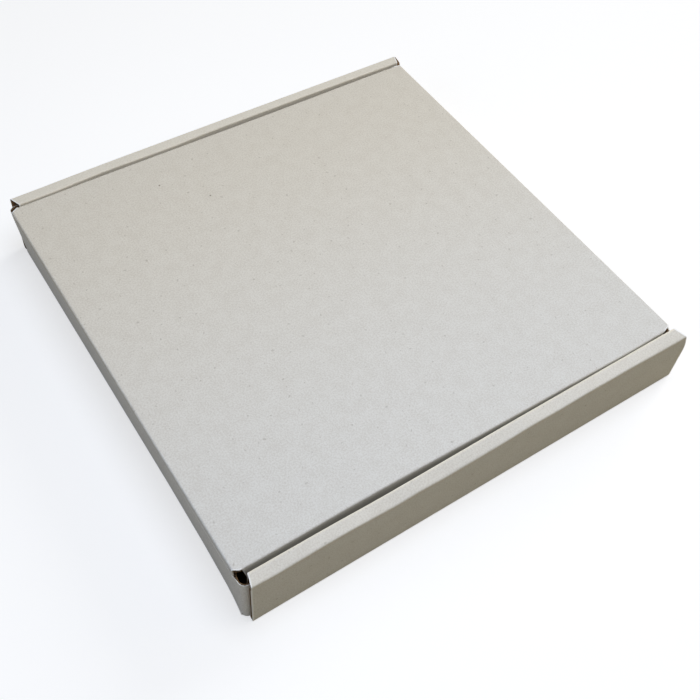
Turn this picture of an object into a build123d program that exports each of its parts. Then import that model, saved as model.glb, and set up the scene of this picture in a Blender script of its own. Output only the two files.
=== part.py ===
from build123d import *
import os

# Flat mailer box: one blank of thin corrugated board, folded up and shut.
# Millimetres. X runs across the box to its two rolled ends, the wall that the
# lid tucks into faces -Y and the hinge wall faces +Y. The origin is the middle
# of the footprint, on the surface that the box stands on.

# The board
board = 1.5
crease_inner = 0.5  # inner radius of a crease between two panels
rim_crease_inner = 0.2  # the same on the rolled rims, which are pressed tighter

# The outside, with the lid shut
base_depth = 205.3  # front wall's outer face to rear wall's outer face, at the foot
end_to_end = 205.8  # over the two rolled ends
height = 30.6
rear_lean = 2.2  # how far the rear wall's top stands out over its foot
front_lean = 3.3  # how far the front wall's top stands in from its foot

# The rolled ends
roll_gap = 0.7  # air between the outer panel and the dust flaps
layer_gap = 0.2  # air between the dust flaps and the inner panel
end_rear_inset = 0.4  # outer panel's rear edge, in from the rear wall's foot
end_front_inset = 0.3  # outer panel's front edge, in from the front wall's foot
shoulder_inset = 1.4  # the same at the shoulder, where the edge turns in to the rim
shoulder_drop = 8.0  # the shoulder, under the top of the rim
rim_front_step = 1.0  # front end of the rim, in from the front wall's top
panel_clearance = 0.6  # inner panel's ends, off the walls
foot_gap = 0.3  # inner panel's lower edge, off the base

# The locking tabs of the inner panels, and their slots in the base
tab_width = 30.0
tab_spacing = 96.0  # middle to middle
tab_taper = 1.5  # what each side of a tab loses towards its foot
tab_lift = 0.3  # foot of a tab over the surface that the box stands on
slot_clearance = 0.25

# The front wall's top and the dust flaps
front_wall_drop = 3.0  # under the lid's top face
flap_drop = 5.0  # top edge of a dust flap, under the lid's top face
flap_length = 75.0
flap_taper = 4.0  # what each long edge of a dust flap loses by its free end

# The lid
ear_clearance = 1.2  # between an ear and the inner panel beside it
tuck_clearance = 0.3  # between the tuck flap's crease and the front wall
hinge_gap = 0.2  # between the rear wall's top edge and the lid
hinge_bulge = 0.1  # how far the hinge crease stands out past the rear wall's face
notch_across = 1.9  # the cut at each corner of the lid, across the box
rear_notch = 2.1  # the same along the lid's side, at the hinge
ear_rear_clearance = 1.7  # rear end of an ear's crease, off the rear wall
ear_front_clearance = 5.7  # front end of an ear's crease, off the tuck flap
ear_floor_gap = 4.1
ear_slant = 5.0  # how far each end of an ear slants in by its lower edge
ear_corner = 6.0  # rounding of its lower corners
tuck_floor_gap = 3.1
tuck_swing_clearance = 0.5  # tuck flap's lower edge off the front wall, as it swings out
tuck_slant = 6.0
tuck_corner = 12.0

# Places and sizes that follow from these
crease = crease_inner + board  # outer radius of a crease
rim_crease = rim_crease_inner + board
end_x = end_to_end / 2  # outer face of a rolled end
wall_x = end_x - board - roll_gap  # outer face of a dust flap
inner_x = wall_x - 2 * board - layer_gap  # face of a rolled end towards the inside
rear_y = (base_depth - rear_lean) / 2  # rear wall's outer face at the foot
front_y = rear_y - base_depth  # front wall's outer face at the foot
hinge_y = rear_y + rear_lean
hinge_z = height - board
front_top_y = front_y + front_lean
rim_rear_y = rear_y - end_rear_inset
rim_front_y = front_top_y + rim_front_step
inner_rear_y = rear_y - board - panel_clearance
inner_front_y = front_top_y + board + panel_clearance
panel_foot = board + foot_gap
flap_top = height - flap_drop
lid_x = inner_x - ear_clearance  # outer face of an ear
notch_x = lid_x - notch_across
tuck_y = front_top_y + board + tuck_clearance  # tuck flap's outer face at its crease
ear_rear_y = hinge_y - board - ear_rear_clearance
ear_front_y = tuck_y + board + ear_front_clearance
ear_foot = board + ear_floor_gap
tuck_foot = board + tuck_floor_gap
lid_reach = hinge_y - tuck_y
swing = (lid_reach**2 + (hinge_z - tuck_foot) ** 2) ** 0.5 - lid_reach
tuck_lean = swing + tuck_swing_clearance
reach = base_depth + end_to_end  # longer than any piece


def folded(plane, radii, *corners):
    """Section of the board along a path of its outer face, which turns left round the inside."""
    outer = [Vector(*corner) for corner in corners]
    to_left = [(end - start).normalized().rotate(Axis.Z, 90) for start, end in zip(outer, outer[1:])]
    inner = [outer[0] + to_left[0] * board]
    for corner, before, after in zip(outer[1:], to_left, to_left[1:]):
        inner.append(corner + (before + after) * (board / (1 + before.dot(after))))
    inner.append(outer[-1] + to_left[-1] * board)
    outer_line = FilletPolyline(*outer, radius=radii)
    inner_line = FilletPolyline(*inner, radius=[radius - board for radius in radii])
    ends = [Line(outer[0], inner[0]), Line(outer[-1], inner[-1])]
    return plane * make_face([outer_line, inner_line, *ends])


def run(section, length):
    """A section drawn out to a piece of this length, half of it to each side."""
    return extrude(section, amount=length / 2, both=True)


def block(plane, low, high, *corners, radii=0):
    """Straight block on an outline, between two distances from the plane."""
    outline = FilletPolyline(*corners, radius=radii, close=True)
    return extrude(plane.offset(low) * make_face(outline), amount=high - low, dir=plane.z_dir)


def both_ends(piece):
    """The piece at +X and its mirror image at -X."""
    return [piece, mirror(piece, about=Plane.YZ)]


def tab_middles():
    """Where the two locking tabs stand along an inner panel."""
    middle = (inner_rear_y + inner_front_y) / 2
    return [middle - tab_spacing / 2, middle + tab_spacing / 2]


def locking_tab(middle):
    """Tab that goes down through its slot from the inner panel at +X."""
    half = tab_width / 2
    return block(
        Plane.YZ,
        inner_x,
        inner_x + board,
        (middle - half, panel_foot + board),
        (middle - half, panel_foot),
        (middle - half + tab_taper, tab_lift),
        (middle + half - tab_taper, tab_lift),
        (middle + half, panel_foot),
        (middle + half, panel_foot + board),
    )


def rolled_end():
    """The end at +X: outer panel, rim and inner panel, one strip rolled over the dust flaps."""
    section = folded(
        Plane.XZ,
        [crease, rim_crease, rim_crease],
        (end_x - 2 * crease, 0),
        (end_x, 0),
        (end_x, height),
        (inner_x, height),
        (inner_x, panel_foot),
    )
    side_outline = block(
        Plane.YZ,
        0,
        reach,
        (rim_rear_y, -board),
        (rim_rear_y, height + board),
        (rim_front_y, height + board),
        (rim_front_y, height),
        (front_y + shoulder_inset, height - shoulder_drop),
        (front_y + end_front_inset, crease),
        (front_y + end_front_inset + crease, -board),
    )
    # Seen from above, the rim narrows to the shorter inner panel
    top_outline = block(
        Plane.XY,
        crease,
        height + board,
        (end_x + board, reach),
        (end_x - board, reach),
        (end_x - board, rim_rear_y),
        (inner_x, inner_rear_y),
        (inner_x - board, inner_rear_y),
        (inner_x - board, inner_front_y),
        (inner_x, inner_front_y),
        (end_x - board, rim_front_y),
        (end_x - board, -reach),
        (end_x + board, -reach),
    )
    half_plane = [(0, reach), (0, -reach), (reach, -reach), (reach, reach)]
    foot_outline = block(Plane.XY, -board, crease, *half_plane)
    roll = run(section, 2 * reach) & side_outline & (top_outline + foot_outline)
    for middle in tab_middles():
        roll += locking_tab(middle)
    return roll


def base_panel():
    """The bottom, as far as the start of its four creases, with a slot for each tab."""
    panel = block(
        Plane.XY,
        0,
        board,
        (end_x - crease, front_y + crease),
        (end_x - crease, rear_y - crease),
        (crease - end_x, rear_y - crease),
        (crease - end_x, front_y + crease),
    )
    slot = Box(board + 2 * slot_clearance, tab_width + 2 * slot_clearance, 4 * board)
    for middle in tab_middles():
        for cut in both_ends(Pos(inner_x + board / 2, middle, 0) * slot):
            panel -= cut
    return panel


def standing_wall(foot_y, lean_out, lean_top, top):
    """Wall that faces +Y, with its crease at the base and a dust flap round each corner.

    Its outer face stands lean_out off its foot at the height lean_top, and top is its top edge.
    """
    middle = (foot_y - crease, crease)
    ring = Pos(*middle) * (Circle(crease) - Circle(crease_inner))
    quadrant = Pos(*middle) * Rectangle(crease, crease, align=(Align.MIN, Align.MAX))
    foot = run(Plane.YZ * (ring & quadrant), 2 * (wall_x - crease))
    plan = folded(
        Plane.XY.offset(crease),
        [crease, crease],
        (wall_x, foot_y - flap_length),
        (wall_x, foot_y),
        (-wall_x, foot_y),
        (-wall_x, foot_y - flap_length),
    )
    rise = Vector(0, lean_out, lean_top - crease)
    upright = extrude(plan, amount=rise.length, dir=rise)
    # The top edge falls away at each corner, down to the dust flap's
    half = [(notch_x, top), (wall_x - crease / 2, flap_top), (reach, flap_top), (reach, reach)]
    upright -= block(Plane.XZ, -reach, reach, *half, *[(-x, z) for x, z in reversed(half)])
    # The flaps narrow from there to their free ends
    root = foot_y - 2 * crease - abs(lean_out)
    tip = foot_y - flap_length - reach
    fall = flap_taper * (root - tip) / flap_length
    for edge, away in ((flap_top, 1), (crease, -1)):
        slope = [(root, edge), (tip, edge - away * fall), (tip, away * reach), (root, away * reach)]
        upright -= block(Plane.YZ, -reach, reach, *slope)
    return foot + upright


def tray():
    """Base, walls, dust flaps and rolled ends, all one folded sheet."""
    front_top = height - front_wall_drop
    rear_wall = standing_wall(rear_y, rear_lean - hinge_bulge, hinge_z, hinge_z - hinge_gap)
    front_wall = standing_wall(-front_y, -front_lean, front_top, front_top)
    sheet = base_panel() + rear_wall + mirror(front_wall, about=Plane.XZ)
    for end in both_ends(rolled_end()):
        sheet += end
    return sheet


def lid_outline(low, high):
    """Plan of the lid's panel, with its four corners cut."""
    half = [
        (notch_x, hinge_y),
        (lid_x, hinge_y - rear_notch),
        (lid_x, ear_front_y),
        (notch_x, tuck_y),
    ]
    return block(Plane.XY, low, high, *half, *[(-x, y) for x, y in reversed(half)])


def lid_panel():
    """The lid's flat panel, rounded along the hinge, up to the start of its other creases."""
    panel = lid_outline(hinge_z, height)
    square = Pos(0, hinge_y, height) * Box(2 * reach, 2 * board, 2 * board)
    rounding = Pos(0, hinge_y - board, hinge_z) * Rot(0, 90, 0) * Cylinder(board, 2 * reach)
    panel -= square - rounding
    ear_strip = Pos(lid_x, (ear_rear_y + ear_front_y) / 2, height) * Box(
        2 * crease, ear_rear_y - ear_front_y, 4 * board
    )
    for cut in both_ends(ear_strip):
        panel -= cut
    panel -= Pos(0, tuck_y, height) * Box(2 * reach, 2 * crease, 4 * board)
    return panel


def ear():
    """Side flap of the lid at +X, which hangs inside the rolled end."""
    section = folded(
        Plane.XZ, [crease], (lid_x, ear_foot), (lid_x, height), (lid_x - 2 * crease, height)
    )
    outline = block(
        Plane.YZ,
        0,
        reach,
        (ear_rear_y, height),
        (ear_front_y, height),
        (ear_front_y + ear_slant, ear_foot),
        (ear_rear_y - ear_slant, ear_foot),
        radii=[0, 0, ear_corner, ear_corner],
    )
    return run(section, 2 * reach) & outline


def tuck_flap():
    """Front flap of the lid, which stands inside the front wall and leans in to swing clear."""
    section = folded(
        Plane.YZ,
        [crease],
        (tuck_y + 2 * crease, height),
        (tuck_y, height),
        (tuck_y + tuck_lean, tuck_foot),
    )
    crest = block(
        Plane.XZ,
        -reach,
        reach,
        (-lid_x, hinge_z),
        (lid_x, hinge_z),
        (lid_x, height),
        (-lid_x, height),
    )
    hanging = block(
        Plane.XZ,
        -reach,
        reach,
        (notch_x, hinge_z),
        (-notch_x, hinge_z),
        (tuck_slant - notch_x, tuck_foot),
        (notch_x - tuck_slant, tuck_foot),
        radii=[0, 0, tuck_corner, tuck_corner],
    )
    return run(section, 2 * reach) & (crest + hanging) & lid_outline(0, height)


def lid():
    """Lid panel with its ears and tuck flap, one folded sheet."""
    sheet = lid_panel() + tuck_flap()
    for side in both_ends(ear()):
        sheet += side
    return sheet


os.makedirs("parts", exist_ok=True)
export_step(tray(), "parts/tray.step")
export_step(lid(), "parts/lid.step")
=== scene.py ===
"""Looks of the flat mailer box: die-cut card with a mottled white face outside and kraft inside."""

import bpy
import numpy as np
from mathutils import Matrix, Vector


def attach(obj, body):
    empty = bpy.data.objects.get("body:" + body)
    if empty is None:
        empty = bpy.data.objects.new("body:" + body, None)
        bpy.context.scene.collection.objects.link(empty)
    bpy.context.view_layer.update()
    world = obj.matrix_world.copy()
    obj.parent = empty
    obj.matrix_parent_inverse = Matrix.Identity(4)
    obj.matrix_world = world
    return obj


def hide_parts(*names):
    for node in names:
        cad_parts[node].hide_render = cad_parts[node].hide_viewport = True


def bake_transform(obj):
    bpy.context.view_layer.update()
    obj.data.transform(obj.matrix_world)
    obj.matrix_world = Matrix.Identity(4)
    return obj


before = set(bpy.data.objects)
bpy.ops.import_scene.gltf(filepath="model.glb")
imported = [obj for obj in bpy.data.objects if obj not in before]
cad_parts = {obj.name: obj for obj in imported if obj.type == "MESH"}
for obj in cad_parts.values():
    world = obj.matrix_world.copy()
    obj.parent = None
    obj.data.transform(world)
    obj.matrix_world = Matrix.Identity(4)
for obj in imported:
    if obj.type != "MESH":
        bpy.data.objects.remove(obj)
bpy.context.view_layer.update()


# Shader maths


class Wire:
    """Output of a node. Arithmetic on it adds Math nodes, so values are written as expressions."""

    def __init__(self, finish, socket):
        self.finish = finish
        self.socket = socket

    def maths(self, operation, *others):
        settings = {"operation": operation}
        return self.finish.node("Math", settings, dict(enumerate((self, *others))))

    def __add__(self, other):
        return self.maths("ADD", other)

    __radd__ = __add__

    def __sub__(self, other):
        return self.maths("SUBTRACT", other)

    def __rsub__(self, other):
        return self.maths("MULTIPLY", -1.0).maths("ADD", other)

    def __mul__(self, other):
        return self.maths("MULTIPLY", other)

    __rmul__ = __mul__

    def __abs__(self):
        return self.maths("ABSOLUTE")

    def __gt__(self, other):
        return self.maths("GREATER_THAN", other)

    def __lt__(self, other):
        return self.maths("LESS_THAN", other)


class Finish:
    """Material under construction, with one method for all of its nodes."""

    def __init__(self, name):
        self.material = bpy.data.materials.new(name)
        self.material.use_nodes = True
        self.tree = self.material.node_tree
        self.tree.nodes.clear()

    def node(self, kind, settings=(), values=(), output=0):
        """Adds a node: its settings are set first, then the values or links of its sockets."""
        made = self.tree.nodes.new("ShaderNode" + kind)
        for name, value in dict(settings).items():
            if name == "stops":
                ramp = made.color_ramp
                while len(ramp.elements) < len(value):
                    ramp.elements.new(0.5)
                for element, (position, colour) in zip(ramp.elements, value):
                    element.position = position
                    element.color = colour
            else:
                setattr(made, name, value)
        for name, value in dict(values).items():
            if isinstance(value, Wire):
                self.tree.links.new(value.socket, made.inputs[name])
            else:
                made.inputs[name].default_value = value
        return Wire(self, made.outputs[output]) if made.outputs else None

    def mix(self, factor, first, second, blend="MIX"):
        """Colour between two colours."""
        settings = {"data_type": "RGBA", "blend_type": blend}
        return self.node("Mix", settings, {0: factor, 6: first, 7: second}, output=2)

    def ramp(self, value, start, stop, top=1.0, interpolation="LINEAR"):
        """0 where the value is at start, top where it is at stop, and level past both."""
        sockets = {"Value": value, "From Min": start, "From Max": stop, "To Max": top}
        return self.node("MapRange", {"interpolation_type": interpolation}, sockets)

    def noise(self, where, scale, detail, roughness):
        sockets = {"Vector": where, "Scale": scale, "Detail": detail, "Roughness": roughness}
        return self.node("TexNoise", {"noise_dimensions": "2D"}, sockets)

    def close(self, shader):
        self.node("OutputMaterial", {}, {"Surface": shader})
        return self.material


def rgb(red, green, blue):
    """Linear colour, with alpha, from the 0 to 255 values of a screen."""
    share = np.array([red, green, blue]) / 255
    linear = np.where(share <= 0.04045, share / 12.92, ((share + 0.055) / 1.055) ** 2.4)
    return (*linear.tolist(), 1.0)


# The card. Its lines are places on the flat blank, in metres: across it from its middle, and
# along it from the middle of the base towards the lid.

ear_crease = (0.0965, 0.0995)
panel_top = 0.1312  # upper edge of a rolled end's outer panel
rim = (0.133, 0.1387)
rim_inner_fold = (0.1371, 0.1379)
inner_panel_top = (0.1384, 0.1415)
rear_wall_middle = 0.1145
rear_wall_half = 0.0139
lid_start = 0.135
marks = ((0.0617, 0.2086, 0.0), (0.0781, 0.1924, 0.0))  # two small pits in the lid
mark_edge = (0.0005, 0.0002)  # from a pit's middle to where it starts and where it is full
flute_pitch = 0.0032

white_stops = [(0.38, rgb(223, 219, 211)), (0.5, rgb(231, 228, 221)), (0.62, rgb(238, 236, 230))]
kraft_stops = [(0.35, rgb(140, 107, 72)), (0.65, rgb(168, 134, 96))]
fleck_colour = rgb(150, 141, 126)
mark_colour = rgb(112, 103, 88)
# painted warm light: a warm tint towards +X, and a warmer tone on the rims and inner panels
warm_tint_colour = (1.0, 0.95, 0.86, 1.0)
# painted highlight on the rims, strongest on their inner folds
rim_highlight_colour = rgb(255, 247, 228)
# painted shade from the grooves, on the ears and the inner panels
groove_shade_colour = rgb(176, 172, 163)
# hems beside cut edges: partly crushed liner, partly a painted edge highlight
hem_crush_and_highlight_colour = rgb(255, 254, 250)
# the fluting's kraft darkened, and its hollows near black, as painted shade
flute_kraft_and_shade_colour = rgb(126, 97, 66)
flute_gap_shade_colour = rgb(36, 26, 18)
edge_white = rgb(248, 244, 234)


def white_liner(finish, spot, across, length, mottle):
    """Mottled white liner with flecks, warmer towards +X as painted warm light, with painted
    highlights on the rims.

    The rims, and above all their inner folds, are lightened as a painted highlight, the ears and
    the inner panels are greyed as painted shade from the grooves, and the hems beside the cut edges
    are whitened, partly crushed liner and partly a painted edge highlight.
    """
    reach = abs(across)
    far_side = across > 0.0
    white = finish.node("ValToRGB", {"stops": white_stops}, {"Fac": mottle})
    fleck = finish.ramp(finish.noise(spot, 520.0, 1.0, 0.4), 0.77, 0.83, top=0.3)
    white = finish.mix(fleck, white, fleck_colour)
    for mark in marks:
        away = finish.node("VectorMath", {"operation": "DISTANCE"}, {0: spot, 1: mark}, output=1)
        white = finish.mix(finish.ramp(away, *mark_edge) * 0.8, white, mark_colour)

    # painted warm light: warmer towards +X and kept off the rear wall; beyond the outer panels' top
    # (rims and inner panels) a warmer tone as well
    warm_tint = finish.ramp(across, -0.11, 0.09, interpolation="SMOOTHSTEP")
    warm_tint = warm_tint.maths("MAXIMUM", (reach > panel_top) * 0.4)
    off_rear_wall = abs(length - rear_wall_middle) > rear_wall_half
    warm_tinted = finish.mix(1.0, white, warm_tint_colour, blend="MULTIPLY")
    white = finish.mix(warm_tint * off_rear_wall, white, warm_tinted)

    # painted highlight on the rims' inner folds, and a lighter far rim as painted light
    at_inner_fold = finish.ramp(reach, *rim_inner_fold)
    rim_highlight = (far_side * 0.22 + 0.1).maths("MAXIMUM", at_inner_fold * (0.95 - far_side * 0.4))
    on_rim = (reach > rim[0]) * (reach < rim[1])
    white = finish.mix(rim_highlight * on_rim, white, rim_highlight_colour)

    # painted shade: the ears and the inner panels greyed, as in the shade of the grooves
    on_ear = finish.ramp(reach, *ear_crease) * (length > lid_start)
    groove_shade = on_ear.maths("MAXIMUM", finish.ramp(reach, *inner_panel_top)) * 0.6
    white = finish.mix(groove_shade, white, groove_shade_colour)

    # hems beside the cut edges whitened: partly crushed liner, partly a painted edge highlight
    margin = finish.node("Attribute", {"attribute_name": "margin"}, output=2)
    return finish.mix(finish.ramp(margin, 0.0, 0.5), white, hem_crush_and_highlight_colour)


def cut_edge(finish, depth, length, kraft):
    """Edge of the board, from its outer face inwards: white liner, fluting, kraft liner.

    The fluting is a line whose depth is a sine of the blank's length, its kraft darkened as painted
    shade, with near black beside it as painted shade in its hollows.
    """
    wave = (length * (2 * np.pi / flute_pitch)).maths("SINE") * 0.2 + 0.6
    flute = finish.ramp(abs(depth - wave), 0.13, 0.07)
    core = finish.mix(flute, flute_gap_shade_colour, flute_kraft_and_shade_colour)
    core = finish.mix(finish.ramp(depth, 0.3, 0.38), edge_white, core)
    return finish.mix(finish.ramp(depth, 0.82, 0.88), core, kraft)


def card_finish():
    """Card: white liner outside, kraft liner inside, and both with the fluting at the cut edges.

    The sheet's own map, in metres, runs on across the folds as on the flat blank. The depth
    attribute is 0 on the outer face and 1 on the inner one, so it runs across a cut edge.
    """
    finish = Finish("card")
    spot = finish.node("UVMap", {"uv_map": "sheet"})
    across = finish.node("SeparateXYZ", {}, {"Vector": spot}, output=0)
    length = finish.node("SeparateXYZ", {}, {"Vector": spot}, output=1)
    depth = finish.node("Attribute", {"attribute_name": "depth"}, output=2)

    grain = finish.noise(spot, 1500.0, 3.0, 0.7)
    cloud = finish.noise(spot, 170.0, 3.0, 0.55)
    drawn_out = finish.node("VectorMath", {"operation": "MULTIPLY"}, {0: spot, 1: (0.22, 1.0, 1.0)})
    fibre = finish.noise(drawn_out, 900.0, 3.0, 0.6)

    white = white_liner(finish, spot, across, length, grain * 0.82 + cloud * 0.18)
    kraft = finish.node("ValToRGB", {"stops": kraft_stops}, {"Fac": fibre * 0.7 + cloud * 0.3})
    faces = finish.mix(depth > 0.5, white, kraft)
    on_edge = (depth > 0.002) * (depth < 0.998)
    colour = finish.mix(on_edge, faces, cut_edge(finish, depth, length, kraft))

    bumps = grain * 0.6 + fibre * 0.4
    relief = finish.node("Bump", {}, {"Strength": 0.25, "Distance": 0.00012, "Height": bumps})
    sockets = {
        "Base Color": colour,
        "Roughness": grain * 0.14 + 0.72,
        "Specular IOR Level": 0.35,
        "Normal": relief,
    }
    return finish.close(finish.node("BsdfPrincipled", {}, sockets))


card = card_finish()


# The board and the folded box, in millimetres

mm = 0.001
board = 1.5
crease = 2.0  # from the corner of two panels to where each of them starts
fold = 0.7  # outer radius of a tight fold
crushed = 0.42  # share of the board's thickness that a fold leaves
hem = 0.6  # width of the bruised margin beside a cut edge
height = 30.6
end_x = 102.9  # outer face of a rolled end
inner_x = 97.5  # its face towards the inside
wall_x = 100.7  # outer face of a dust flap
rear_y = 101.55  # rear wall's outer face at the foot
front_y = -103.75
hinge_y = 103.75
hinge_z = height - board
hinge_bulge = 0.1  # how far the hinge's fold stands out past the rear wall
rear_lean = hinge_y - rear_y - hinge_bulge
front_lean = 4.05
front_top = 27.2
corner_round = 3.2  # outer radius of a wall's upright corners
corner_foot = 0.4  # lower edge of the card at those corners
flap_length = 75.0
flap_taper = 4.0  # what each long edge of a dust flap loses by its free end
panel_foot = 1.8  # lower edge of an inner panel, beside its tabs
tab_foot = 0.3
tab_width = 30.0
tab_apart = 96.0  # middle to middle
tab_middle = 0.55
slot_gap = 0.25
lid_x = 96.3  # outer face of an ear, before the lid's edge is curved
notch_x = 94.4
ear_rear_y = 100.55
ear_front_y = -94.2
ear_foot = 5.6
ear_slant = 5.0  # how far each end of an ear slants in
ear_corner = 6.0
tuck_y = -97.95
tuck_foot = 4.6
tuck_lean = 1.98
tuck_slant = 6.0
tuck_corner = 12.0
fold_foot_z = 25.0  # where the hinge fold's piece starts on the rear wall


def fold_path(corners, radii, spacing=4.0, arc_steps=8):
    """Outer face of a folded section: straight runs joined by arcs that turn left round the inside.

    A run is a + (b - a) u. An arc is c + r (cos t, sin t), with t between the angles at which it
    is tangent to its runs. Returns the points, the way to the inside, and the flat distance. The
    way is a unit long, but falls to what a fold leaves of the board where one has crushed it.
    """
    corners = np.array(corners, float)
    ways = np.diff(corners, axis=0)
    ways /= np.linalg.norm(ways, axis=1)[:, None]
    left = np.stack([-ways[:, 1], ways[:, 0]], axis=1)
    turns = np.arccos(np.clip((ways[:-1] * ways[1:]).sum(axis=1), -1, 1))
    setback = np.concatenate([[0], np.array(radii) * np.tan(turns / 2), [0]])
    starts = corners[:-1] + ways * setback[:-1, None]
    ends = corners[1:] - ways * setback[1:, None]
    points, inward = [], []
    for k, (start, end) in enumerate(zip(starts, ends)):
        length = np.linalg.norm(end - start)
        share = np.linspace(0, 1, max(2, int(round(length / spacing)) + 1))
        share = share if length > 1e-6 else share[:1]
        points.append(start + (end - start) * share[:, None])
        creased = ((share == 0) & (k > 0)) | ((share == 1) & (k < len(turns)))
        inward.append(left[k] * np.where(creased, crushed, 1.0)[:, None])
        if k < len(turns):
            first = np.arctan2(-left[k, 1], -left[k, 0])
            angle = first + turns[k] * np.linspace(0, 1, arc_steps + 1)[1:-1]
            spoke = np.stack([np.cos(angle), np.sin(angle)], axis=1)
            points.append(end + left[k] * radii[k] + spoke * radii[k])
            inward.append(-spoke * crushed)
    points, inward = np.concatenate(points), np.concatenate(inward)
    flat = np.concatenate([[0], np.cumsum(np.linalg.norm(np.diff(points, axis=0), axis=1))])
    return points, inward, flat


def strip(path, low, high, shares, place, flat_place):
    """Sheet ruled along the folds of a section, from low to high.

    A point is the section's own at one station, and low + (high - low) u along the fold, for the
    u in shares. place turns the section's two coordinates and the one along the fold into X, Y
    and Z. flat_place turns the flat distance and the one along the fold into the blank's own two
    coordinates.
    """
    points, inward, flat = path
    low, high = (np.broadcast_to(edge, len(points))[:, None] for edge in (low, high))
    along = low + (high - low) * shares
    first, second = (np.broadcast_to(points[:, k : k + 1], along.shape) for k in (0, 1))
    in_first, in_second = (np.broadcast_to(inward[:, k : k + 1], along.shape) for k in (0, 1))
    distance = np.broadcast_to(flat[:, None], along.shape)
    return (
        np.stack(place(first, second, along), axis=-1),
        np.stack(place(in_first, in_second, 0 * along), axis=-1),
        np.stack(flat_place(distance, along), axis=-1),
    )


def board_shell(outer, inward, flat, present=None, hems=(1, 1)):
    """Closed shell of board from a grid: its outer face, that face set in, and the cut edges.

    An inner point is the outer one plus the way inward times the board. A cell is left out where
    present is false. An edge strip stands wherever a cell that is there meets one that isn't, or
    the rim of the grid. A column is set in beside the first one and the last, by the hem's width,
    and the outermost points are marked where hems says so. Returns the points, the cells, their
    places on the blank, the depth through the board and the marks of the hems.
    """
    rows, columns = outer.shape[:2]
    present = np.ones((rows - 1, columns - 1), bool) if present is None else present
    for end in (0, 1):
        grids = [grid[:, ::-1] if end else grid for grid in (outer, inward, flat, present)]
        width = np.linalg.norm(grids[0][:, 1] - grids[0][:, 0], axis=1)
        share = np.minimum(hem / np.maximum(width, 1e-6), 0.5)[:, None]
        for k in range(3):
            beside = grids[k][:, 0] + (grids[k][:, 1] - grids[k][:, 0]) * share
            grids[k] = np.concatenate([grids[k][:, :1], beside[:, None], grids[k][:, 1:]], axis=1)
        grids[3] = np.concatenate([grids[3][:, :1], grids[3]], axis=1)
        outer, inward, flat, present = (grid[:, ::-1] if end else grid for grid in grids)
    columns += 2
    margin = np.zeros((rows, columns))
    margin[:, 0], margin[:, -1] = hems
    points = np.concatenate([outer.reshape(-1, 3), (outer + inward * board).reshape(-1, 3)])
    spots = np.tile(flat.reshape(-1, 2), (2, 1))
    depth = np.repeat([0.0, 1.0], rows * columns)
    margin = np.tile(margin.ravel(), 2)
    number = np.arange(rows * columns).reshape(rows, columns)
    inner = number + rows * columns
    a, b, c, d = number[:-1, :-1], number[1:, :-1], number[1:, 1:], number[:-1, 1:]
    quads = [np.stack([a, b, c, d], -1)[present]]
    quads.append(np.stack([a, d, c, b], -1)[present] + rows * columns)
    framed = np.pad(present, 1)
    # edge strips down the grid, and then across it
    here, before = framed[1:-1, 1:], framed[1:-1, :-1]
    for starts, flip in ((here & ~before, False), (before & ~here, True)):
        i, j = np.nonzero(starts)
        p, q = number[i, j], number[i + 1, j]
        r, s = inner[i + 1, j], inner[i, j]
        quads.append(np.stack([p, q, r, s] if flip else [q, p, s, r], -1))
    here, before = framed[1:, 1:-1], framed[:-1, 1:-1]
    for starts, flip in ((here & ~before, False), (before & ~here, True)):
        i, j = np.nonzero(starts)
        p, q = number[i, j], number[i, j + 1]
        r, s = inner[i, j + 1], inner[i, j]
        quads.append(np.stack([q, p, s, r] if flip else [p, q, r, s], -1))
    quads = np.concatenate(quads)
    normal = np.cross(outer[1:, :-1] - outer[:-1, :-1], outer[:-1, 1:] - outer[:-1, :-1])
    if (normal * inward[:-1, :-1])[present].sum() > 0:
        quads = quads[:, ::-1]
    return points, quads, spots, depth, margin


def make_piece(name, body, shells):
    """One mesh object from several shells, with the blank's map and the depth through the board.

    Points that no cell uses are dropped. A piece without a body is attached to none.
    """
    starts = np.cumsum([0] + [len(points) for points, *_ in shells])
    quads = np.concatenate([shell[1] + start for shell, start in zip(shells, starts)])
    points, spots, depth, margin = (
        np.concatenate([shell[k] for shell in shells]) for k in (0, 2, 3, 4)
    )
    points, spots = points * mm, spots * mm
    used, quads = np.unique(quads, return_inverse=True)
    quads = quads.reshape(-1, 4)
    points, spots, depth, margin = points[used], spots[used], depth[used], margin[used]
    mesh = bpy.data.meshes.new(name)
    mesh.from_pydata(points.tolist(), [], quads.tolist())
    mesh.attributes.new("depth", "FLOAT", "POINT").data.foreach_set("value", depth)
    mesh.attributes.new("margin", "FLOAT", "POINT").data.foreach_set("value", margin)
    mesh.uv_layers.new(name="sheet").uv.foreach_set("vector", spots[quads.ravel()].ravel())
    mesh.shade_smooth()
    mesh.set_sharp_from_angle(angle=np.radians(40))
    mesh.materials.append(card)
    made = bpy.data.objects.new(name, mesh)
    bpy.context.scene.collection.objects.link(made)
    if body:
        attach(made, body)
        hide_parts(body)
    return made


def eased(at, stations, values, reach=9.0):
    """Runs of straight line through the stations, with their corners eased.

    It is the mean of the straight runs at nine places around each point, up to reach away.
    """
    shifts = np.linspace(-reach, reach, 9)
    return np.mean([np.interp(at + shift, stations, values) for shift in shifts], axis=0)


def near_edge(y):
    """How far out the lid's edge at -X stands, along the box."""
    places = [-96.0, -79.5, -38.5, 0.5, 36.5, 57, 85.5, 101.6]
    return eased(y, places, [96.4, 96.8, 96.4, 96.1, 95.6, 95.4, 95.7, 95.7])


def far_edge(y):
    """The same for the lid's edge at +X."""
    places = [-96.0, -80, -24, 39, 66, 84, 101.6]
    return eased(y, places, [95.9, 96.0, 95.8, 96.1, 96.2, 96.0, 96.0])


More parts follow.
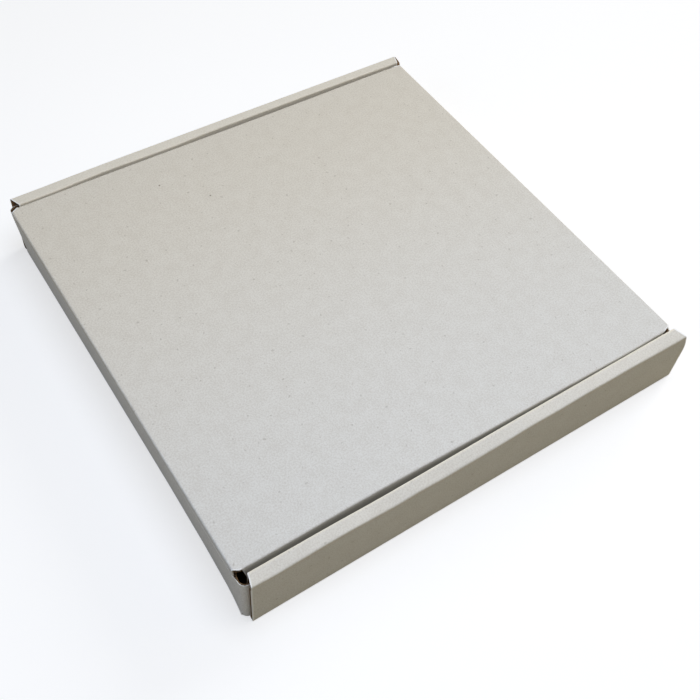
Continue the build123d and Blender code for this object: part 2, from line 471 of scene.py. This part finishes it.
def near_rim(y):
    """How far out the rim at -X has gone, at its outer and its inner fold."""
    inner = eased(y, [-96, -60, -15, 21, 48, 66], [-0.3, -0.2, -0.1, 0.2, 0.4, 0.1])
    return 0 * y, inner


def far_rim(y):
    """The same for the rim at +X."""
    outer = eased(y, [-96, -24, 0, 48, 66, 93], [-0.3, -0.1, 0, 0, -0.1, -0.6])
    places = [-96, -78, -60, -40, 10, 22, 32, 60, 75, 86]
    inner = eased(y, places, [0.2, 0.5, 0.7, 0.8, 0.8, 0.2, 0.2, 0.6, 0.0, -0.4], reach=4)
    return outer, inner


def near_sag(y):
    """How far the outer fold of the rim at -X has sagged, where it was pressed."""
    places = [-96, -87, -73, -45, -32, -20, -5, 22, 33, 43, 62, 76, 93, 100]
    depths = [1.0, 0.9, 0.1, 0.0, 0.6, 0.2, 1.3, 2.0, 1.2, 1.9, 0.4, 0.5, 1.3, 0.4]
    return eased(y, places, depths, reach=2.5)


def settled(points):
    """The tray as it stands folded: its ends lean, one rim sags and one corner's foot swells.

    A point goes outwards by a straight line between what the rim does at its inner and its outer
    fold, faded over the three millimetres inside them, in proportion to its height. It sags by
    near_sag in proportion to the square of its height. The last twenty millimetres of the rear
    wall's foot are set back, ever more towards the corner at -X.
    """
    x, y, z = (points[..., k] for k in range(3))
    outer, inner = (np.where(x > 0, far, near) for far, near in zip(far_rim(y), near_rim(y)))
    share = np.clip((np.abs(x) - inner_x) / (end_x - inner_x), 0, 1)
    fade = np.clip(1 + (np.abs(x) - inner_x) / 3.0, 0, 1)
    rise = np.clip(z / height, 0, 1)
    outwards = (inner + (outer - inner) * share) * fade * rise
    sag = near_sag(y) * share * rise**2 * (x < 0)
    swell = np.interp(x, [-100.0, -95.0, -88.5, -68.0, -40.0], [2.1, 1.5, 0.9, 0.3, 0.0])
    foot = np.clip(1 - z / hinge_z, 0, 1) * np.clip((y - rear_y + 20.05) / 20.0, 0, 1)
    foot = foot * (x > -wall_x - 0.1)
    return np.stack([x + np.sign(x) * outwards, y + swell * foot, z - sag], axis=-1)


def tray_shell(outer, inward, flat, present=None, hems=(1, 1)):
    """Shell of board from a grid that is bent first as the tray was."""
    return board_shell(settled(outer), inward, flat, present, hems)


def tab_edges(gap=0.0):
    """Both edges of both locking tabs along Y, or of their slots with a gap at each edge."""
    half = tab_width / 2 + gap
    return tab_middle + tab_apart / 2 * np.array([-1, -1, 1, 1]) + half * np.array([-1, 1, -1, 1])


def rolled_end(name, side):
    """Outer panel, rim and inner panel, rolled over the dust flaps. side is 1 at +X and -1 at -X.

    The section is ruled along Y, and the ends of its rows run in a straight line across the rim,
    from the outer panel's to the inner panel's. The last row is only there at the two locking
    tabs, which go down through the slots of the base.
    """
    # rear and front ends of the outer panel and of the inner one, which differ by side
    rear_out, rear_in, front_out, front_in = {
        -1: (101.1, 99.55, -100.7, -98.3),
        1: (101.4, 99.3, -99.3, -97.8),
    }[side]
    points, inward, flat = fold_path(
        [(end_x - crease, 0), (end_x, 0), (end_x, height), (inner_x, height), (inner_x, tab_foot)],
        [fold, fold, fold],
        spacing=3.0,
    )
    flat[-2] += points[-2, 1] - panel_foot
    points[-2, 1] = panel_foot
    rolled = np.clip((end_x - points[:, 0]) / (end_x - inner_x), 0, 1) * (flat > height)
    rear = rear_out + (rear_in - rear_out) * rolled
    # the outer panel's front edge turns in under the rim
    fronts = [front_y + 0.05, front_y + 0.1, -102.8, -101.2, front_out]
    front = np.interp(points[:, 1], [0, 20, 24, 28.7, 30.4], fronts)
    front = np.where(rolled > 0, front_out + (front_in - front_out) * rolled, front)
    at_tabs = (tab_edges() - front_in) / (rear_in - front_in)
    shares = np.unique(np.concatenate([np.linspace(0, 1, 61), at_tabs]))
    middle = front_in + (shares[1:] + shares[:-1]) / 2 * (rear_in - front_in)
    present = np.ones((len(points) - 1, len(shares) - 1), bool)
    present[-1] = np.abs(np.abs(middle - tab_middle) - tab_apart / 2) < tab_width / 2
    sheet = strip(
        (points, inward, flat),
        front,
        rear,
        shares,
        lambda a, b, t: (side * a, t, b),
        lambda s, t: (side * (end_x - crease + s), t),
    )
    return make_piece(name, "tray", [tray_shell(*sheet, present)])


def standing_wall(name, side, foot_y, lean, top, notch_foot, flap_top):
    """Wall with its foot crease and a dust flap round each corner. side is 1 for the rear wall.

    The wall's plan is ruled upright, from its foot to its top edge, and leans in proportion to
    the height. The top edge steps down to notch_foot beyond the notch and runs on to flap_top.
    Both edges of the flaps draw in towards their free ends. The foot crease is ruled along X.
    """
    path = fold_path(
        [
            (wall_x, foot_y - flap_length),
            (wall_x, foot_y),
            (-wall_x, foot_y),
            (-wall_x, foot_y - flap_length),
        ],
        [corner_round, corner_round],
    )
    flat = path[2]
    middle = flat[-1] / 2
    off = np.abs(flat - middle)
    corner = wall_x - corner_round
    flap = corner + corner_round * np.pi / 2
    tip = off.max()
    low = np.interp(
        off,
        [wall_x - crease - 0.01, wall_x - crease, flap, flap + 2.0, tip],
        [crease, corner_foot, corner_foot, crease, crease + flap_taper],
    )
    high = np.interp(
        off,
        [0, notch_x, notch_x + 0.01, (corner + flap) / 2, flap, tip],
        [top, top, notch_foot, flap_top, flap_top, flap_top - flap_taper],
    )
    foot = side * (foot_y - crease)
    bend = fold_path([(foot_y - crease, 0), (foot_y, 0), (foot_y, crease)], [fold])
    upright = strip(
        path,
        low,
        high,
        np.linspace(0, 1, 13),
        lambda a, b, t: (a, side * b, t),
        lambda s, t: (middle - s, foot + side * (bend[2][-1] + t - crease)),
    )
    upright[0][..., 1] += side * lean * (upright[0][..., 2] - crease) / (hinge_z - crease)
    crease_strip = strip(
        bend,
        crease - wall_x,
        wall_x - crease,
        np.linspace(0, 1, 49),
        lambda a, b, t: (t, side * a, b),
        lambda s, t: (t, foot + side * s),
    )
    return make_piece(name, "tray", [tray_shell(*upright, hems=(0, 1)), tray_shell(*crease_strip)])


def base_panel():
    """Flat bottom, with the four slots that the locking tabs go down through.

    The grid's lines are evenly spaced, with one more at each edge of a slot. The cells in a slot
    are left out.
    """
    half_width = end_x - crease
    slots = np.array([inner_x - slot_gap, inner_x + board + slot_gap])
    x = np.unique(np.concatenate([np.linspace(-half_width, half_width, 50), slots, -slots]))
    tabs = tab_edges(slot_gap)
    y = np.unique(np.concatenate([np.linspace(front_y + crease, rear_y - crease, 50), tabs]))
    grid_x, grid_y = np.meshgrid(x, y, indexing="ij")
    outer = np.stack([grid_x, grid_y, 0 * grid_x], axis=-1)
    inward = np.broadcast_to([0.0, 0.0, 1.0], outer.shape)
    mid_x = np.abs((x[1:] + x[:-1]) / 2)
    mid_y = (y[1:] + y[:-1]) / 2
    in_x = (mid_x > slots[0]) & (mid_x < slots[1])
    in_y = ((mid_y > tabs[0]) & (mid_y < tabs[1])) | ((mid_y > tabs[2]) & (mid_y < tabs[3]))
    present = ~(in_x[:, None] & in_y[None, :])
    shell = tray_shell(outer, inward, outer[..., :2], present, hems=(0, 0))
    return make_piece("base_panel", "tray", [shell])


def lid_flat(y):
    """The blank's own distance for a place on the lid's top."""
    return fold_start + fold_length + ear_rear_y - y


def lid_panel():
    """Flat top of the lid, between its creases, with the cut corners beside the tuck flap.

    Rows run across at one y each, evenly between the two ear creases, and a last column on each
    side reaches the lid's edge in front of the ear.
    """
    y = np.linspace(tuck_y + crease, ear_rear_y, 81)
    y[np.abs(y - ear_front_y).argmin()] = ear_front_y
    rear = np.maximum(y, ear_front_y)
    notch = np.clip((ear_front_y - y) / (ear_front_y - tuck_y), 0, 1)
    near = -(near_edge(rear) + (front_half(-1) - near_edge(rear)) * notch)
    far = far_edge(rear) + (front_half(1) - far_edge(rear)) * notch
    share = np.linspace(0, 1, 61)
    first, last = crease - near_edge(rear), far_edge(rear) - crease
    x = first[:, None] + (last - first)[:, None] * share
    x = np.concatenate([near[:, None], x, far[:, None]], axis=1)
    grid_y = np.broadcast_to(y[:, None], x.shape)
    outer = np.stack([x, grid_y, 0 * x + height], axis=-1)
    inward = np.broadcast_to([0.0, 0.0, -1.0], outer.shape)
    present = np.ones((len(y) - 1, x.shape[1] - 1), bool)
    present[:, [0, -1]] = (y[1:] <= ear_front_y + 1e-6)[:, None]
    return board_shell(outer, inward, np.stack([x, lid_flat(grid_y)], axis=-1), present)


def front_half(side):
    """How far the tuck flap's crease reaches on that side."""
    return 95.3 if side > 0 else 95.1


def corner_inset(drop, foot, radius):
    """How far a rounded lower corner draws in: r - sqrt(r^2 - d^2), d into the drop's last r."""
    into = np.clip(drop - (height - foot - radius), 0, radius)
    return radius - np.sqrt(radius**2 - into**2)


def ear(side):
    """Side flap of the lid, with slanted ends and rounded lower corners.

    The section is ruled along Y. Its ends draw in by the slant in proportion to the drop, and by
    the rounding of the corners. The whole goes out to the lid's own edge.
    """
    path = fold_path(
        [(lid_x, ear_foot), (lid_x, height), (lid_x - crease, height)], [fold], spacing=1.5
    )
    drop = height - path[0][:, 1]
    inset = ear_slant * drop / (height - ear_foot) + corner_inset(drop, ear_foot, ear_corner)
    edge = far_edge if side > 0 else near_edge
    outer, inward, flat = strip(
        path,
        ear_front_y + inset,
        ear_rear_y - inset,
        np.linspace(0, 1, 81),
        lambda a, b, t: (side * a, t, b),
        lambda s, t: (side * (lid_x - crease + path[2][-1] - s), lid_flat(t)),
    )
    outer[..., 0] += side * (edge(outer[..., 1]) - lid_x)
    below = (drop > 0.1) * 1.0
    return board_shell(outer, inward, flat, hems=(below, below))


def tuck_flap():
    """Front flap of the lid, with slanted sides and well rounded lower corners.

    The section is ruled along X, between sides that follow the notch above the crease and draw in
    below it by the slant and the rounding.
    """
    path = fold_path(
        [(tuck_y + crease, height), (tuck_y, height), (tuck_y + tuck_lean, tuck_foot)],
        [fold],
        spacing=1.5,
    )
    drop = height - path[0][:, 1]
    slant = tuck_slant * np.clip(drop - board, 0, None) / (hinge_z - tuck_foot)
    draw_in = corner_inset(drop, tuck_foot, tuck_corner) + slant
    notch = np.clip((ear_front_y - path[0][:, 0]) / (ear_front_y - tuck_y), 0, 1)
    halves = []
    for side, edge in ((-1, near_edge), (1, far_edge)):
        full = edge(np.array(ear_front_y))
        halves.append(side * (full + (front_half(side) - full) * notch - draw_in))
    sheet = strip(
        path,
        *halves,
        np.linspace(0, 1, 61),
        lambda a, b, t: (t, a, b),
        lambda s, t: (t, lid_flat(tuck_y + crease) + s),
    )
    return board_shell(*sheet)


def hinge_path():
    """Section of the hinge: up the rear wall's outer face, round the fold and on to the lid."""
    wall_y = rear_y + rear_lean * (fold_foot_z - crease) / (hinge_z - crease)
    return fold_path(
        [(wall_y, fold_foot_z), (hinge_y - 0.01, height), (ear_rear_y, height)], [fold], spacing=0.8
    )


fold_start = rear_y + fold_foot_z
fold_length = hinge_path()[2][-1]


def hinge_fold():
    """The fold between rear wall and lid.

    The section is ruled along X, between the notches, and beyond the fold its rows widen in a
    straight line to the lid's edges.
    """
    path = hinge_path()
    y, z = path[0].T
    on_lid = z > hinge_z + 0.5
    near, far = (
        notch_x + (edge(y) - notch_x) * np.clip((hinge_y - 0.2 - y) / reach, 0, 1) * on_lid
        for edge, reach in ((near_edge, 2.3), (far_edge, 3.0))
    )
    sheet = strip(
        path,
        -near,
        far,
        np.linspace(0, 1, 61),
        lambda a, b, t: (t, a, b),
        lambda s, t: (t, fold_start + s),
    )
    made = make_piece("hinge_fold", None, [board_shell(*sheet)])
    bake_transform(made)
    return made


rolled_end("rolled_end_left", -1)
rolled_end("rolled_end_right", 1)
standing_wall(
    "rear_wall", 1, rear_y, rear_lean, top=fold_foot_z, notch_foot=hinge_z - 0.2, flap_top=27.8
)
standing_wall(
    "front_wall", -1, -front_y, -front_lean, top=front_top, notch_foot=25.0, flap_top=24.0
)
base_panel()
make_piece("lid_panel", "lid", [lid_panel(), ear(1), ear(-1), tuck_flap()])
hinge_fold()


# The floor, the light and the camera


def soft_light(name, place, size, power, colour):
    """Round soft box that faces the middle of the box's footprint."""
    data = bpy.data.lights.new(name, "AREA")
    data.shape = "DISK"
    data.size = size
    data.energy = power
    data.color = colour
    lamp = bpy.data.objects.new(name, data)
    lamp.location = place
    lamp.rotation_mode = "QUATERNION"
    lamp.rotation_quaternion = (-Vector(place)).to_track_quat("-Z", "Y")
    lamp.visible_camera = False
    bpy.context.scene.collection.objects.link(lamp)


def floor():
    """Wide pale floor, a hair under the box. It shows pale but throws little light back up."""
    mesh = bpy.data.meshes.new("floor")
    half_width, under = 6.0, 0.0001
    corners = np.array([(-1, -1, 0), (1, -1, 0), (1, 1, 0), (-1, 1, 0)]) * half_width
    corners = corners - (0, 0, under)
    mesh.from_pydata(corners.tolist(), [], [(0, 1, 2, 3)])
    paint = Finish("floor_paint")
    seen = paint.node("LightPath")
    pale = paint.node("BsdfDiffuse", {}, {"Color": (0.54, 0.54, 0.54, 1)})
    glow = paint.node("Emission", {}, {"Color": (1, 1, 1, 1), "Strength": 0.6})
    shown = paint.node("AddShader", {}, {0: pale, 1: glow})
    thrown = paint.node("BsdfDiffuse", {}, {"Color": (0.5, 0.44, 0.31, 1)})
    mesh.materials.append(paint.close(paint.node("MixShader", {}, {0: seen, 1: thrown, 2: shown})))
    made = bpy.data.objects.new("floor", mesh)
    bpy.context.scene.collection.objects.link(made)


def room():
    """Even pale surroundings, which show light and shine only faintly on the box."""
    world = bpy.data.worlds.new("room")
    world.use_nodes = True
    tree = world.node_tree
    seen = tree.nodes.new("ShaderNodeLightPath")
    strength = tree.nodes.new("ShaderNodeMix")
    strength.inputs["A"].default_value = 0.12
    strength.inputs["B"].default_value = 0.92
    tree.links.new(seen.outputs["Is Camera Ray"], strength.inputs["Factor"])
    tree.links.new(strength.outputs["Result"], tree.nodes["Background"].inputs["Strength"])
    tree.nodes["Background"].inputs["Color"].default_value = (1, 0.97, 0.88, 1)
    bpy.context.scene.world = world


floor()
room()
soft_light("front_light", (0.3, -1.3, 0.7), 0.8, 9.75, (1.0, 1.0, 1.0))
soft_light("rear_light", (-0.2, 1.2, 0.7), 0.8, 3.6, (0.6, 0.72, 1.0))
soft_light("top_light", (-0.12, 0.0, 0.55), 0.35, 1.45, (0.8, 0.87, 1.0))
soft_light("corner_light", (-0.5, -0.9, 0.8), 0.8, 1.4, (1.0, 0.8, 0.42))
bpy.context.scene.view_settings.view_transform = "Standard"


def photo_camera():
    """Camera at the photograph's place: turned by azimuth, elevation and roll, with no shift."""
    azimuth, elevation, roll = np.radians([232.13, 53.57, 5.65])
    target = np.array([-0.03912, 0.02049, 0.0306])
    distance = 0.3732
    focal_length = 962.0 / 700.0  # as a share of the picture's width
    back = np.array(
        [
            np.sin(azimuth) * np.cos(elevation),
            -np.cos(azimuth) * np.cos(elevation),
            np.sin(elevation),
        ]
    )
    level = np.cross([0, 0, 1], back)
    level /= np.linalg.norm(level)
    upright = np.cross(back, level)
    across = level * np.cos(roll) + upright * np.sin(roll)
    up = upright * np.cos(roll) - level * np.sin(roll)
    data = bpy.data.cameras.new("camera")
    data.sensor_width = 36.0
    data.lens = focal_length * data.sensor_width
    data.clip_start = 0.01
    data.clip_end = 20.0
    camera = bpy.data.objects.new("camera", data)
    turned = np.eye(4)
    turned[:3, :3] = np.stack([across, up, back], axis=1)
    turned[:3, 3] = target + back * distance
    camera.matrix_world = Matrix(turned.tolist())
    bpy.context.scene.collection.objects.link(camera)
    bpy.context.scene.camera = camera


photo_camera()
